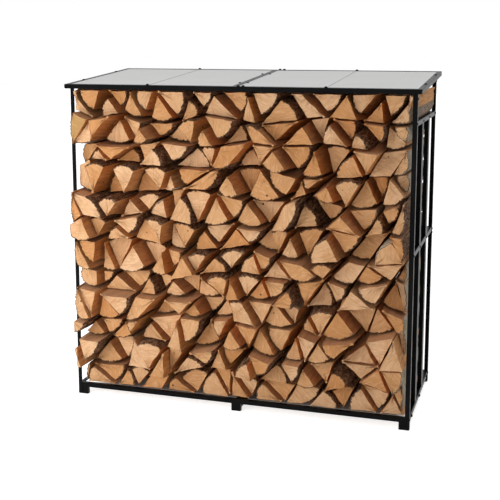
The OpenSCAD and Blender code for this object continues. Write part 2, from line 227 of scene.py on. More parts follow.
# Lights: place, target, width, power and colour
KEY_LIGHT = ((-2.0, -2.4, 1.2), (-0.5, -0.3, 0.75), 2.2, 83, (1, 0.98, 0.95))
FILL_LIGHT = ((0.4, -5.2, 1.8), (0, -0.3, 0.8), 2.5, 60, (1, 0.93, 0.82))
# The world's light: how fast it grows upward and to the rear, and its stops from dim to bright
SKY_GROWTH = 0.3
SKY_STOPS = ((0.25, 0.1), (0.55, (0.285, 0.253, 0.216)), (0.8, (0.97, 0.985, 1.0)))


# Shader nodes

def add_node(tree, kind, inputs=None, **settings):
    """Adds a node; an input is a value, or another node's output to link."""
    node = tree.nodes.new(kind)
    for name, value in settings.items():
        setattr(node, name, value)
    for key, value in (inputs or {}).items():
        if isinstance(value, bpy.types.NodeSocket):
            tree.links.new(value, node.inputs[key])
        else:
            node.inputs[key].default_value = value
    return node


def math_node(tree, operation, *values):
    node = add_node(tree, "ShaderNodeMath", dict(enumerate(values)), operation=operation)
    return node.outputs[0]


def vector_node(tree, operation, *values):
    return add_node(tree, "ShaderNodeVectorMath", dict(enumerate(values)), operation=operation).outputs


def parts_of(tree, vector):
    return add_node(tree, "ShaderNodeSeparateXYZ", {0: vector}).outputs


def attribute(tree, name, output="Fac"):
    return add_node(tree, "ShaderNodeAttribute", attribute_name=name).outputs[output]


def stretched(tree, vector, factors):
    """The vector with each part multiplied by its own factor."""
    return vector_node(tree, "MULTIPLY", vector, factors)[0]


def noise(tree, vector, scale, detail=3.0, roughness=0.55, distortion=0.0):
    inputs = {
        "Vector": vector, "Scale": scale, "Detail": detail,
        "Roughness": roughness, "Distortion": distortion,
    }
    return add_node(tree, "ShaderNodeTexNoise", inputs).outputs[0]


def ramp(tree, fac, *stops):
    """A colour ramp from (place, colour) stops; a number stands for a grey."""
    node = add_node(tree, "ShaderNodeValToRGB", {"Fac": fac})
    elements = node.color_ramp.elements
    while len(elements) < len(stops):
        elements.new(0.5)
    for element, (place, colour) in zip(elements, stops):
        element.position = place
        element.color = (*colour, 1) if isinstance(colour, tuple) else (colour, colour, colour, 1)
    return node.outputs[0]


def mix(tree, fac, a, b):
    node = add_node(tree, "ShaderNodeMix", data_type="RGBA")
    for key, value in ((0, fac), (6, a), (7, b)):
        if isinstance(value, bpy.types.NodeSocket):
            tree.links.new(value, node.inputs[key])
        else:
            node.inputs[key].default_value = (*value, 1) if isinstance(value, tuple) else value
    return node.outputs[2]


def stain(tree, base, pattern, low, high, colour):
    """The base mixed with a colour, as much as a ramp of two stops makes of the pattern."""
    return mix(tree, ramp(tree, pattern, low, high), base, colour)


def bump(tree, height, strength, distance):
    inputs = {"Height": height, "Strength": strength, "Distance": distance}
    return add_node(tree, "ShaderNodeBump", inputs).outputs[0]


def new_material(name, **sockets):
    material = bpy.data.materials.new(name)
    material.use_nodes = True
    shader = material.node_tree.nodes["Principled BSDF"]
    for socket, value in sockets.items():
        shader.inputs[socket.replace("_", " ")].default_value = value
    return material, material.node_tree, shader.inputs


def background_rays(tree):
    """One for rays that show the background: the camera's, reflected and passing ones."""
    rays = add_node(tree, "ShaderNodeLightPath").outputs
    mirrored = math_node(tree, "MAXIMUM", rays["Is Glossy Ray"], rays["Is Transmission Ray"])
    return math_node(tree, "MAXIMUM", rays["Is Camera Ray"], mirrored)


def object_coordinates(tree):
    return add_node(tree, "ShaderNodeTexCoord").outputs["Object"]


# Materials

def steel_material():
    """Satin black powder coat: fine orange peel, faint dust and handling marks."""
    material, tree, shader = new_material("black_powder_coat", Specular_IOR_Level=0.06)
    place = object_coordinates(tree)
    dust = noise(tree, place, scale=7, detail=6, roughness=0.65)
    coat = stain(tree, COAT_BLACK, dust, (0.42, 0.0), (0.75, 1.0), COAT_DUST)
    tree.links.new(coat, shader["Base Color"])
    marks = noise(tree, stretched(tree, place, (9, 9, 1.5)), scale=12, detail=5, roughness=0.7)
    tree.links.new(ramp(tree, marks, (0.3, 0.27), (0.7, 0.4)), shader["Roughness"])
    peel = noise(tree, place, scale=700, detail=2, roughness=0.5)
    tree.links.new(bump(tree, peel, strength=0.12, distance=0.3 * MM), shader["Normal"])
    return material


def sheet_material():
    """Light grey coated sheet, a little uneven, with dried rain marks."""
    material, tree, shader = new_material("grey_roof_sheet", Specular_IOR_Level=0.5)
    place = object_coordinates(tree)
    cloud = noise(tree, place, scale=3.5, detail=6, roughness=0.6)
    grey = ramp(tree, cloud, (0.3, 0.65), (0.7, 0.72))
    drops = ramp(tree, noise(tree, place, scale=60, detail=4, roughness=0.7), (0.58, 0.0), (0.72, 1.0))
    spotted = mix(tree, math_node(tree, "MULTIPLY", drops, RAIN_STRENGTH), grey, RAIN_MARK)
    tree.links.new(spotted, shader["Base Color"])
    tree.links.new(ramp(tree, cloud, (0.25, 0.42), (0.75, 0.55)), shader["Roughness"])
    waves = noise(tree, place, scale=9, detail=2, roughness=0.4)
    tree.links.new(bump(tree, waves, strength=0.08, distance=4 * MM), shader["Normal"])
    return material


def seam_material():
    """Grey sheet edge, uneven with grime."""
    material, tree, shader = new_material("roof_seam", Roughness=0.6)
    grime = noise(tree, object_coordinates(tree), scale=40, detail=4, roughness=0.6)
    tree.links.new(ramp(tree, grime, (0.3, 0.30), (0.7, 0.44)), shader["Base Color"])
    return material


def knots(tree, grain):
    """One inside a knot; they are few, small and round."""
    cells = add_node(tree, "ShaderNodeTexVoronoi", {"Vector": grain, "Scale": 11.0})
    return ramp(tree, cells.outputs["Distance"], (0.045, 1.0), (0.08, 0.0))


def about_pith(tree, grain):
    """The distance from the pith, and a vector of the angle about it and the place along the grain."""
    parts = parts_of(tree, grain)
    radius = vector_node(tree, "LENGTH", stretched(tree, grain, (1, 0, 1)))["Value"]
    angle = math_node(tree, "ARCTAN2", parts["X"], parts["Z"])
    spokes = add_node(tree, "ShaderNodeCombineXYZ", {0: angle, 1: parts["Y"]})
    return radius, spokes.outputs[0]


def growth_rings(tree, grain, radius):
    """Waves from 0 to 1 that go out from the pith."""
    wobble = math_node(tree, "MULTIPLY", noise(tree, grain, scale=30, detail=2), RING_WOBBLE)
    phase = math_node(tree, "MULTIPLY", math_node(tree, "ADD", radius, wobble), 2 * math.pi / RING_WIDTH)
    return math_node(tree, "MULTIPLY_ADD", math_node(tree, "SINE", phase), 0.5, 0.5)


def turned_grain(tree, grain):
    """The grain's place, turned about the log as its saw cut is."""
    inputs = {"Vector": grain, "Angle": attribute(tree, "turn")}
    return add_node(tree, "ShaderNodeVectorRotate", inputs, rotation_type="Y_AXIS").outputs[0]


def end_checks(tree, radius, spokes):
    """How dark the cracks are that run out from the pith."""
    wander = math_node(tree, "SUBTRACT", noise(tree, spokes, scale=2.4, detail=2, roughness=0.5), 0.5)
    beside = math_node(tree, "MULTIPLY", math_node(tree, "ABSOLUTE", wander), CHECK_SHARPNESS)
    cracks = ramp(tree, beside, (0.1, 0.55), (0.5, 0.0))
    inner = ramp(tree, math_node(tree, "DIVIDE", radius, CHECK_RADIUS), (0.3, 1.0), (0.75, 0.0))
    return math_node(tree, "MULTIPLY", cracks, inner)


def bark_rim(tree, grain):
    """One on the ragged rim of bark round a sawn end."""
    fray = math_node(tree, "SUBTRACT", noise(tree, grain, scale=230, detail=3, roughness=0.75), 0.5)
    depth = math_node(tree, "MULTIPLY_ADD", fray, RIM_RAGGED, attribute(tree, "rim"))
    return ramp(tree, math_node(tree, "DIVIDE", depth, RIM_DEPTH), (0.16, 1.0), (0.34, 0.0))


def end_grain_material():
    """Sawn ends: rings and rays about the pith, checks, saw marks, and a ragged dark rim of bark."""
    material, tree, shader = new_material("sawn_end_grain", Roughness=0.82, Specular_IOR_Level=0.2)
    grain = attribute(tree, "grain", "Vector")
    wood = ramp(tree, attribute(tree, "tint"), *END_TINTS)
    wood = mix(tree, attribute(tree, "dark_olive"), wood, END_DARK_OLIVE)
    blotch = noise(tree, grain, scale=22, detail=5, roughness=0.6)
    wood = stain(tree, wood, blotch, (0.3, 0.0), (0.75, 0.4), END_BLOTCH)

    radius, spokes = about_pith(tree, grain)
    rings = growth_rings(tree, grain, radius)
    wood = mix(tree, math_node(tree, "MULTIPLY", rings, RING_STRENGTH), wood, END_RING)
    rays = noise(tree, spokes, scale=26, detail=3, roughness=0.6)
    wood = stain(tree, wood, rays, (0.35, 0.13), (0.6, 0.0), END_RAY)
    heart = math_node(tree, "DIVIDE", radius, HEART_RADIUS)
    wood = stain(tree, wood, heart, (0.2, 0.4), (1.0, 0.0), END_HEART)

    turned = turned_grain(tree, grain)
    saw = noise(tree, stretched(tree, turned, (0.1, 1, 1)), scale=420, detail=3, roughness=0.6)
    wood = stain(tree, wood, saw, (0.35, 0.3), (0.65, 0.0), END_SAW_MARK)
    fibres = noise(tree, stretched(tree, turned, (0.14, 1, 1)), scale=150, detail=4, roughness=0.75)
    wood = stain(tree, wood, fibres, (0.34, 0.55), (0.52, 0.0), END_DARK_FIBRE)
    wood = stain(tree, wood, fibres, (0.52, 0.0), (0.7, 0.45), END_PALE_FIBRE)
    flecks = noise(tree, grain, scale=300, detail=2, roughness=0.6)
    wood = stain(tree, wood, flecks, (0.68, 0.0), (0.75, 0.6), END_FLECK)
    wood = mix(tree, knots(tree, grain), wood, END_KNOT)
    wood = mix(tree, end_checks(tree, radius, spokes), wood, END_CHECK)
    wood = mix(tree, bark_rim(tree, grain), wood, END_RIM)
    tree.links.new(wood, shader["Base Color"])
    height = math_node(tree, "MULTIPLY_ADD", rings, RING_HEIGHT, saw)
    tree.links.new(bump(tree, height, strength=0.35, distance=0.8 * MM), shader["Normal"])
    return material


def split_material():
    """Split faces: long fibres, torn in places, knots, and greyer on upward faces as painted sky light."""
    material, tree, shader = new_material("split_wood_face", Roughness=0.85, Specular_IOR_Level=0.2)
    grain = attribute(tree, "grain", "Vector")
    wood = ramp(tree, attribute(tree, "tint"), *SPLIT_TINTS)
    fibres = noise(tree, stretched(tree, grain, (1, 0.03, 1)), scale=260, detail=4, roughness=0.65)
    bands = noise(tree, stretched(tree, grain, (1, 0.08, 1)), scale=62, detail=4, roughness=0.65)
    wood = stain(tree, wood, fibres, (0.36, 0.75), (0.6, 0.0), SPLIT_FIBRE)
    wood = stain(tree, wood, bands, (0.52, 0.0), (0.68, 0.75), SPLIT_DARK_BAND)
    wood = stain(tree, wood, bands, (0.32, 0.55), (0.46, 0.0), SPLIT_PALE_BAND)
    wood = mix(tree, knots(tree, grain), wood, SPLIT_KNOT)
    # Painted sky light: faces that point up are mixed toward a greyer colour, as if lit from above
    upward = parts_of(tree, add_node(tree, "ShaderNodeNewGeometry").outputs["Normal"])["Z"]
    wood = stain(tree, wood, upward, (0.3, 0.0), (0.9, 0.5), SPLIT_SKYLIGHT_GREY)
    tree.links.new(wood, shader["Base Color"])
    height = math_node(tree, "MULTIPLY_ADD", bands, BAND_HEIGHT, fibres)
    tree.links.new(bump(tree, height, strength=0.6, distance=2.2 * MM), shader["Normal"])
    return material


def bark_material():
    """Furrowed dark brown bark with torn pale fibres, or pale birch bark with dark bands."""
    material, tree, shader = new_material("bark", Roughness=0.92, Specular_IOR_Level=0.15)
    grain = attribute(tree, "grain", "Vector")
    along = stretched(tree, grain, (1, 0.28, 1))
    plates = noise(tree, along, scale=75, detail=5, roughness=0.65, distortion=0.6)
    torn = noise(tree, along, scale=230, detail=3, roughness=0.7)
    brown = stain(tree, ramp(tree, plates, *BARK_TINTS), torn, (0.56, 0.0), (0.66, 0.7), BARK_TORN)
    across = noise(tree, stretched(tree, grain, (0.2, 1, 0.2)), scale=150, detail=4, roughness=0.6)
    pale = ramp(tree, across, *BIRCH_TINTS)
    tree.links.new(mix(tree, attribute(tree, "birch"), brown, pale), shader["Base Color"])
    tree.links.new(bump(tree, plates, strength=0.9, distance=4 * MM), shader["Normal"])
    return material


def floor_material():
    """Plain pale floor that glows nearly white, with painted shade deep under the rack, where its glow
    fades out.
    """
    material, tree, shader = new_material("pale_floor", Roughness=0.9, Specular_IOR_Level=0.1)
    place = object_coordinates(tree)
    grey = noise(tree, place, scale=1.2, detail=4, roughness=0.5)
    tree.links.new(ramp(tree, grey, (0.3, 0.70), (0.7, 0.73)), shader["Base Color"])
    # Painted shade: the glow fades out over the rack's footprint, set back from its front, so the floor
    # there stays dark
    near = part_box("leg_front_left")[0] + Vector((SHADE_EDGE, SHADE_SETBACK, 0))
    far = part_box("leg_back_right")[1] - Vector((SHADE_EDGE, SHADE_EDGE, 0))
    middle, half = (near + far) / 2, (far - near) / 2
    offset = vector_node(tree, "ABSOLUTE", vector_node(tree, "SUBTRACT", place, middle)[0])[0]
    beyond = parts_of(tree, vector_node(tree, "SUBTRACT", offset, half)[0])
    outside = math_node(tree, "MAXIMUM", beyond["X"], beyond["Y"])
    lit = ramp(tree, math_node(tree, "DIVIDE", outside, SHADE_EDGE), (0.0, 0.0), (1.0, 1.0))
    glow = math_node(tree, "MULTIPLY", background_rays(tree), lit)
    tree.links.new(math_node(tree, "MULTIPLY", glow, FLOOR_GLOW), shader["Emission Strength"])
    shader["Emission Color"].default_value = (1, 1, 1, 1)
    return material


STEEL = steel_material()
SHEET = sheet_material()
WOOD = (end_grain_material(), split_material(), bark_material())
END_FACE, SPLIT_FACE, BARK_FACE = range(3)


# Outlines of logs

def read_logs(node):
    """The logs of a course, from the node's mesh: each one's outline in X and Z, front and back."""
    mesh = NODES[node].data
    places = np.empty(len(mesh.vertices) * 3)
    mesh.vertices.foreach_get("co", places)
    corners = np.empty(len(mesh.loops), dtype=int)
    mesh.loops.foreach_get("vertex_index", corners)
    places = np.round(places.reshape(-1, 3), MERGE_DECIMALS)
    points, merged = np.unique(places, axis=0, return_inverse=True)
    triangles = merged.reshape(-1)[corners].reshape(-1, 3)
    label = np.arange(len(points))
    while True:
        lowest = label.copy()
        np.minimum.at(lowest, triangles.ravel(), np.repeat(label[triangles].min(axis=1), 3))
        if (lowest == label).all():
            break
        label = lowest
    logs = []
    for island in np.unique(label):
        solid = points[label == island]
        front, back = solid[:, 1].min(), solid[:, 1].max()
        outline = solid[solid[:, 1] < (front + back) / 2][:, (0, 2)]
        spokes = outline - outline.mean(axis=0)
        order = np.argsort(np.arctan2(spokes[:, 1], spokes[:, 0]))
        logs.append((outline[order], front, back))
    return sorted(logs, key=lambda log: log[0][:, 0].mean())


def split_sides(outline):
    """The outline's corners, and each side's bulge: only a bark side has one, and it comes first."""
    count = len(outline)
    if count <= ARC_EDGES:
        return outline.copy(), [None] * count
    lengths = np.linalg.norm(np.roll(outline, -1, axis=0) - outline, axis=1)
    spans = [lengths.take(range(k, k + ARC_EDGES), mode="wrap").sum() for k in range(count)]
    outline = np.roll(outline, -int(np.argmin(spans)), axis=0)
    corners = np.concatenate((outline[:1], outline[ARC_EDGES:]))
    bulge = outline[ARC_EDGES // 2] - (corners[0] + corners[1]) / 2
    return corners, [bulge] + [None] * (len(corners) - 1)


def outer_side(corners, bulges, edge):
    """The split side that lies at the stack's left or right edge, as its two corners' numbers, or none."""
    out = math.copysign(1, edge)
    for k, bulge in enumerate(bulges):
        ends = [k, (k + 1) % len(corners)]
        if bulge is None and (corners[ends, 0] * out > edge * out - EDGE_REACH).all():
            return ends
    return None


def round_edge(corners, bulges, edge):
    """Gives a log at the stack's left or right edge bark on the side that faces out."""
    ends = outer_side(corners, bulges, edge)
    if ends:
        length = np.linalg.norm(corners[ends[1]] - corners[ends[0]])
        bulge = np.array((math.copysign(min(EDGE_BULGE, EDGE_BULGE_SHARE * length), edge), 0.0))
        corners[ends] -= bulge
        bulges[ends[0]] = bulge
    return corners


def fill_opening(corners, bulges, edge):
    """Widens a log in the opening over a top rail: its outer side gets a ridge, with bark below it."""
    ends = outer_side(corners, bulges, edge)
    if not ends:
        return corners
    out = math.copysign(1, edge)
    low, high = sorted(ends, key=lambda end: corners[end][1])
    corners[high] += (OPEN_REACH * out, OPEN_RISE)
    ridge = (corners[low] + corners[high]) / 2 + (OPEN_REACH / 2 * out, 0)
    bark = np.array((OPEN_BULGE * out, 0.0))
    bulges[ends[0]:ends[0] + 1] = [bark, None] if low == ends[0] else [None, bark]
    return np.insert(corners, ends[0] + 1, ridge, axis=0)


def hold_in(points, outline, share):
    """Keeps points to the outline's sides and top, but for a share of the opening's reach and rise."""
    low, high = outline.min(axis=0), outline.max(axis=0)
    reach = share * (OPEN_REACH + OPEN_BULGE)
    x = np.clip(points[:, 0], low[0] - reach, high[0] + reach)
    return np.stack((x, np.minimum(points[:, 1], high[1] + share * OPEN_RISE)), axis=1)


def sample_outline(corners, bulges):
    """Points round the outline with their outward normals, and whether each starts a bark face."""
    points, normals, barked, first = [], [], [], []
    for start, end, bulge in zip(corners, np.roll(corners, -1, axis=0), bulges):
        is_bark = bulge is not None
        step = BARK_STEP if is_bark else SPLIT_STEP
        steps = max(LEAST_STEPS, round(np.linalg.norm(end - start) / step))
        t = np.arange(steps)[:, None] / steps
        rise = bulge if is_bark else np.zeros(2)
        points.append(start + (end - start) * t + rise * 4 * t * (1 - t))
        run = (end - start) + rise * 4 * (1 - 2 * t)
        normals.append(np.stack((run[:, 1], -run[:, 0]), axis=1) / np.linalg.norm(run, axis=1)[:, None])
        barked.append(np.full(steps, is_bark))
        first.append(np.arange(steps) == 0)
    points, normals = np.concatenate(points), np.concatenate(normals)
    barked, first = np.concatenate(barked), np.concatenate(first)
    before = np.roll(normals, 1, axis=0)
    mitre = np.maximum(1 + (normals * before).sum(axis=1), MITRE_LIMIT)[:, None]
    normals = np.where(first[:, None], (normals + before) / mitre, normals)
    return points, normals, barked


def find_pith(corners, bulges, centre, rng):
    """Where the log's growth rings are centred."""
    angle = rng.uniform(0, 2 * math.pi)
    for start, end, bulge in zip(corners, np.roll(corners, -1, axis=0), bulges):
        if bulge is not None:
            rise = np.linalg.norm(bulge)
            radius = np.linalg.norm(end - start) ** 2 / (8 * rise) + rise / 2
            return (start + end) / 2 + bulge - bulge / rise * np.clip(radius, *PITH_RADII)
    return centre + PITH_OFFSET * np.array((math.cos(angle), math.sin(angle)))


# Relief of logs

def smooth_step(t):
    t = np.clip(t, 0, 1)
    return t * t * (3 - 2 * t)


def value_noise(u, v, seed):
    """Smooth noise from 0 to 1 on a grid of unit squares."""
    def corner(i, j):
        wave = np.sin(i * NOISE_TURNS[0] + j * NOISE_TURNS[1] + seed * NOISE_TURNS[2]) * NOISE_SPREAD
        return wave - np.floor(wave)

    i, j = np.floor(u), np.floor(v)
    a, b = smooth_step(u - i), smooth_step(v - j)
    near = corner(i, j) * (1 - a) + corner(i + 1, j) * a
    far = corner(i, j + 1) * (1 - a) + corner(i + 1, j + 1) * a
    return near * (1 - b) + far * b


def log_rings(length):
    """Distances of the rings from the front end, close together near both ends."""
    return np.concatenate((RING_DISTANCES, [length / 2], length - RING_DISTANCES[::-2]))


def surface_loss(along, rings, barked, seed):
    """How far each point of the sides lies inside the outline: bark is furrowed, splits are fibrous."""
    along, rings = along[None, :], rings[:, None]

    def waves(size, number):
        return value_noise(along / size[1], rings / size[2], seed + number)

    split = SPLIT_INSET + sum(size[0] * waves(size, k) for k, size in enumerate(SPLIT_WAVES))
    plates = np.abs(2 * waves(BARK_FURROWS, 3) - 1)
    bark = BARK_INSET + BARK_FURROWS[0] * (1 - plates) ** 2 + BARK_FLAKES[0] * waves(BARK_FLAKES, 4)
    from_end = np.minimum(rings, rings[-1] - rings)
    chips = value_noise(along / CHIP_WIDTH, 0 * rings, seed + 5) ** CHIP_CONTRAST
    bark += CHIP_DEPTH * chips * np.exp(-from_end / CHIP_RUN)
    return np.where(barked[None, :], bark, split)


def clearance(points, normals, sides):
    """Free distance from each point along its normal to the nearest of the sides, or none."""
    def cross(u, v):
        return u[..., 0] * v[..., 1] - u[..., 1] * v[..., 0]

    tiny = 1e-9
    start, run = sides[None, :, 0], sides[None, :, 1] - sides[None, :, 0]
    gap, normals = start - points[:, None], normals[:, None]
    facing = cross(normals, run)
    facing = np.where(np.abs(facing) < tiny, tiny, facing)
    distance, share = cross(gap, run) / facing, cross(gap, normals) / facing
    hit = (distance > 0) & (share >= 0) & (share <= 1)
    nearest = np.where(hit, distance, np.inf).min(axis=1)
    return np.where(np.isfinite(nearest), nearest, 0)


def side_room(points, normals, sides):
    """The room beside each point of a log's outline, evened out along the outline."""
    near = np.linalg.norm(sides.mean(axis=1) - points.mean(axis=0), axis=1) < SWELL_REACH
    room = np.minimum(clearance(points, normals, sides[near]), SWELL_ROOM)
    for turn in (-1, 1):
        room = np.minimum(room, np.roll(room, turn))
    return (room + np.roll(room, 1) + np.roll(room, -1)) / 3


def fullness(rings):
    """How full a log is at each ring: none at its ends, and one between them."""
    full = np.ones(len(rings))
    for distance, start, run in zip((rings, rings[-1] - rings), SWELL_STARTS, SWELL_RUNS):
        full *= smooth_step((distance - start) / run)
    return full[:, None]


def path_lengths(points):
    """How long the way round the outline is to each point."""
    return np.concatenate(([0], np.cumsum(np.linalg.norm(np.diff(points, axis=0), axis=1))))


def ring_loss(points, normals, barked, rings, number, narrowing, others):
    """How far each ring's points lie inside the outline, or outside it where the log swells."""
    full = fullness(rings)
    from_end = np.minimum(rings, rings[-1] - rings)[:, None]
    taper = narrowing * np.exp(-from_end / TAPER_RUN)
    loss = (surface_loss(path_lengths(points), rings, barked, number) + taper) * (1 - full)
    return loss - SWELL_SHARE * full * side_room(points, normals, others)


# Logs

def add_object(name, data):
    piece = bpy.data.objects.new(name, data)
    bpy.context.scene.collection.objects.link(piece)
    return piece


class CourseMesh:
    """Collects the vertices, faces and attributes of one course of logs."""

    def __init__(self):
        self.points, self.faces, self.kinds = [], [], []
        self.attributes = {}
        self.count = 0

    def add_points(self, points, pith, offset, **values):
        """Adds points, with their place in the grain and other values; returns the first one's number."""
        first = self.count
        self.count += len(points)
        self.points.append(points)
        grain = points - np.array((pith[0], 0, pith[1]))
        grain[:, 1] += offset
        self.attributes.setdefault("grain", []).append(grain)
        for key, value in values.items():
            self.attributes.setdefault(key, []).append(np.broadcast_to(value, len(points)))
        return first

    def add_band(self, a, b, size, kinds):
        """Quads between two closed rings of points that start at a and b."""
        k = np.arange(size)
        after = (k + 1) % size
        self.faces.extend(np.stack((a + k, a + after, b + after, b + k), axis=1).tolist())
        self.kinds.extend(np.broadcast_to(kinds, size).tolist())

    def add_fan(self, ring, middle, size):
        """Triangles from a closed ring of points to the point in its middle."""
        k = np.arange(size)
        middles = np.full(size, middle)
        self.faces.extend(np.stack((ring + k, ring + (k + 1) % size, middles), axis=1).tolist())
        self.kinds.extend([END_FACE] * size)

    def build(self, name):
        mesh = bpy.data.meshes.new(name)
        mesh.from_pydata(np.concatenate(self.points), [], self.faces)
        for material in WOOD:
            mesh.materials.append(material)
        mesh.polygons.foreach_set("material_index", self.kinds)
        for key, parts in self.attributes.items():
            values = np.concatenate(parts).astype(np.float32)
            kind, field = ("FLOAT_VECTOR", "vector") if values.ndim == 2 else ("FLOAT", "value")
            mesh.attributes.new(key, kind, "POINT").data.foreach_set(field, values.ravel())
        fix = bmesh.new()
        fix.from_mesh(mesh)
        bmesh.ops.recalc_face_normals(fix, faces=fix.faces)
        fix.to_mesh(mesh)
        fix.free()
        mesh.shade_smooth()
        mesh.set_sharp_from_angle(angle=LOG_CREASE)
        return add_object(name, mesh)


def log_look(outline, left, right, rng):
    """Colour values of a log: birch is mostly at the right edge, and darker olive ends only at the left."""
    at_left = outline[:, 0].min() < left + EDGE_REACH
    at_right = outline[:, 0].max() > right - EDGE_REACH
    in_opening = at_right and outline[:, 1].mean() > RAIL_TOP
    birch = float(rng.uniform() < (EDGE_BIRCH if at_right else OTHER_BIRCH))
    return {
        "tint": rng.beta(*TINT_SPREAD),
        "turn": rng.uniform(0, math.pi),
        "birch": OPEN_BIRCH if in_opening else birch,
        "dark_olive": float(rng.uniform() < (EDGE_DARK_OLIVE if at_left else 0.0)),
    }


def add_end(course, edge, arc, centre, tilt, previous, depth, inward, look):
    """Closes a log with a sawn end, from the last ring of its sides; arc is where its bark is."""
    size = len(edge)
    lowest = ((edge - centre) @ tilt).min()
    for share in (1.0, *CAP_RINGS, 0.0):
        flat = centre + (edge - centre) * share if share else centre[None, :]
        slope = (flat - centre) @ tilt - lowest
        cap = np.stack((flat[:, 0], depth + inward * slope, flat[:, 1]), axis=1)
        gaps = np.linalg.norm(flat[:, None] - arc[None], axis=2)
        rim = gaps.min(axis=1) if len(arc) else NO_BARK
        start = course.add_points(cap, rim=rim, **look)
        if share:
            course.add_band(previous, start, size, END_FACE)
        else:
            course.add_fan(previous, start, size)
        previous = start


def add_log(course, outline, front, back, number, left, right, others):
    """Adds a log to its course; on the stack's left edge a log with an even number keeps its split side."""
    rng = np.random.default_rng(number)
    corners, bulges = split_sides(outline)
    opening = corners[:, 1].mean() > RAIL_TOP
    shape_edge = fill_opening if opening else round_edge
    corners = shape_edge(corners, bulges, right)
    if number % 2:
        corners = shape_edge(corners, bulges, left)
    points, normals, barked = sample_outline(corners, bulges)
    size = len(points)
    centre = points.mean(axis=0)
    pith = find_pith(corners, bulges, centre, rng)
    look = {"pith": pith, "offset": number * LOG_SPACING - front, **log_look(outline, left, right, rng)}
    rings = log_rings(back - front)
    loss = ring_loss(points, normals, barked, rings, number, rng.uniform(0, END_TAPER), others)
    free = smooth_step((front + rings - LEG_BACK - OPEN_START) / OPEN_RUN)
    fray = value_noise(path_lengths(points) / RAGGED_WIDTH, np.zeros(size), number)
    ragged = np.where(barked, RAGGED_DEPTH * fray, 0)

    def section(ring, inset=0.0):
        """The log's outline at a ring, drawn in by the inset."""
        base = hold_in(points, outline, free[ring]) if opening else points
        return base - normals * (loss[ring][:, None] + inset)

    starts = []
    for k, distance in enumerate(rings):
        flat = section(k)
        depth = front + distance + (ragged if distance <= END_BEVEL else 0)
        ring = np.stack((flat[:, 0], np.broadcast_to(depth, size), flat[:, 1]), axis=1)
        starts.append(course.add_points(ring, rim=0.0, **look))
    side_kinds = np.where(barked, BARK_FACE, SPLIT_FACE)
    for a, b in zip(starts, starts[1:]):
        course.add_band(a, b, size, side_kinds)
    for k, depth, inward in ((0, front, 1), (-1, back, -1)):
        tilt = rng.uniform(-END_SLOPE, END_SLOPE, 2)
        edge, arc = section(k, END_BEVEL), section(k)[barked]
        add_end(course, edge, arc, centre, tilt, starts[k], depth, inward, look)


def outline_sides(outline):
    """Each side of the outline, as its two ends."""
    return np.stack((outline, np.roll(outline, -1, axis=0)), axis=1)


def build_logs():
    """Builds each course of logs as one piece, in place of its CAD node."""
    number = 0
    courses = sorted(name for name in NODES if name.startswith("log_course"))
    left = min(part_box(node)[0].x for node in courses)
    right = max(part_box(node)[1].x for node in courses)
    logs = {node: read_logs(node) for node in courses}
    outlines = [log[0] for node in courses for log in logs[node]]
    sides = np.concatenate([outline_sides(outline) for outline in outlines])
    owners = np.repeat(np.arange(len(outlines)), [len(outline) for outline in outlines])
    for node in courses:
        course = CourseMesh()
        for outline, front, back in logs[node]:
            others = sides[owners != number]
            number += 1
            add_log(course, outline, front, back, number, left, right, others)
        piece = course.build(node.replace("log_course", "split_logs"))
        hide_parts(node)
        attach(piece, "root")


# Steel

def roof_plane():
    """A point on the roof sheets' top and their upward normal."""
    mesh = NODES["roof_right_sheets"].data
    face = max((p for p in mesh.polygons if p.normal.z > TOP_FACING), key=lambda p: p.area)
    return Vector(face.center), Vector(face.normal)


ROOF_POINT, ROOF_NORMAL = roof_plane()


def on_roof(x, y, height=0.0):
    """The point over x and y on the sheets' top, raised along the roof's normal."""
    fall = ROOF_NORMAL.x * (x - ROOF_POINT.x) + ROOF_NORMAL.y * (y - ROOF_POINT.y)
    return Vector((x, y, ROOF_POINT.z - fall / ROOF_NORMAL.z)) + ROOF_NORMAL * height


def between(span, share):
    return span[0] + (span[1] - span[0]) * share


def slat_shares(count):
    """Where slats stand, evenly spaced, as shares of their span."""
    return [k / (count + 1) for k in range(1, count + 1)]


def mid_height(box):
    return (box[0].z + box[1].z) / 2


def add_loft(mesh, rings):
    """A closed solid through rings of as many points each."""
    rings = [[mesh.verts.new(point) for point in ring] for ring in rings]
    for low, high in zip(rings, rings[1:]):
        for k in range(len(low)):
            after = (k + 1) % len(low)
            mesh.faces.new((low[k], low[after], high[after], high[k]))
    mesh.faces.new(rings[0][::-1])
    mesh.faces.new(rings[-1])


def add_steel(name, mesh, material):
    """Makes the mesh a piece that stands still with the rack."""
    data = bpy.data.meshes.new(name)
    mesh.to_mesh(data)
    mesh.free()
    data.materials.append(material)
    data.shade_smooth()
    data.set_sharp_from_angle(angle=STEEL_CREASE)
    piece = add_object(name, data)
    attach(piece, "root")


def build_bolts(name, places, size):
    """Domed bolt heads standing on faces; the size is for their radius and their height."""
    turns = [2 * math.pi * k / BOLT_SIDES for k in range(BOLT_SIDES)]
    mesh = bmesh.new()
    for place, direction in places:
        turn = Vector(direction).to_track_quat("Z", "Y").to_matrix().to_4x4()
        stand = Matrix.Translation(place) @ turn
        rings = []
        for radius, height in BOLT_PROFILE * size:
            circle = [Vector((radius * math.cos(a), radius * math.sin(a), height)) for a in turns]
            rings.append([stand @ point for point in circle])
        add_loft(mesh, rings)
    add_steel(name, mesh, STEEL)


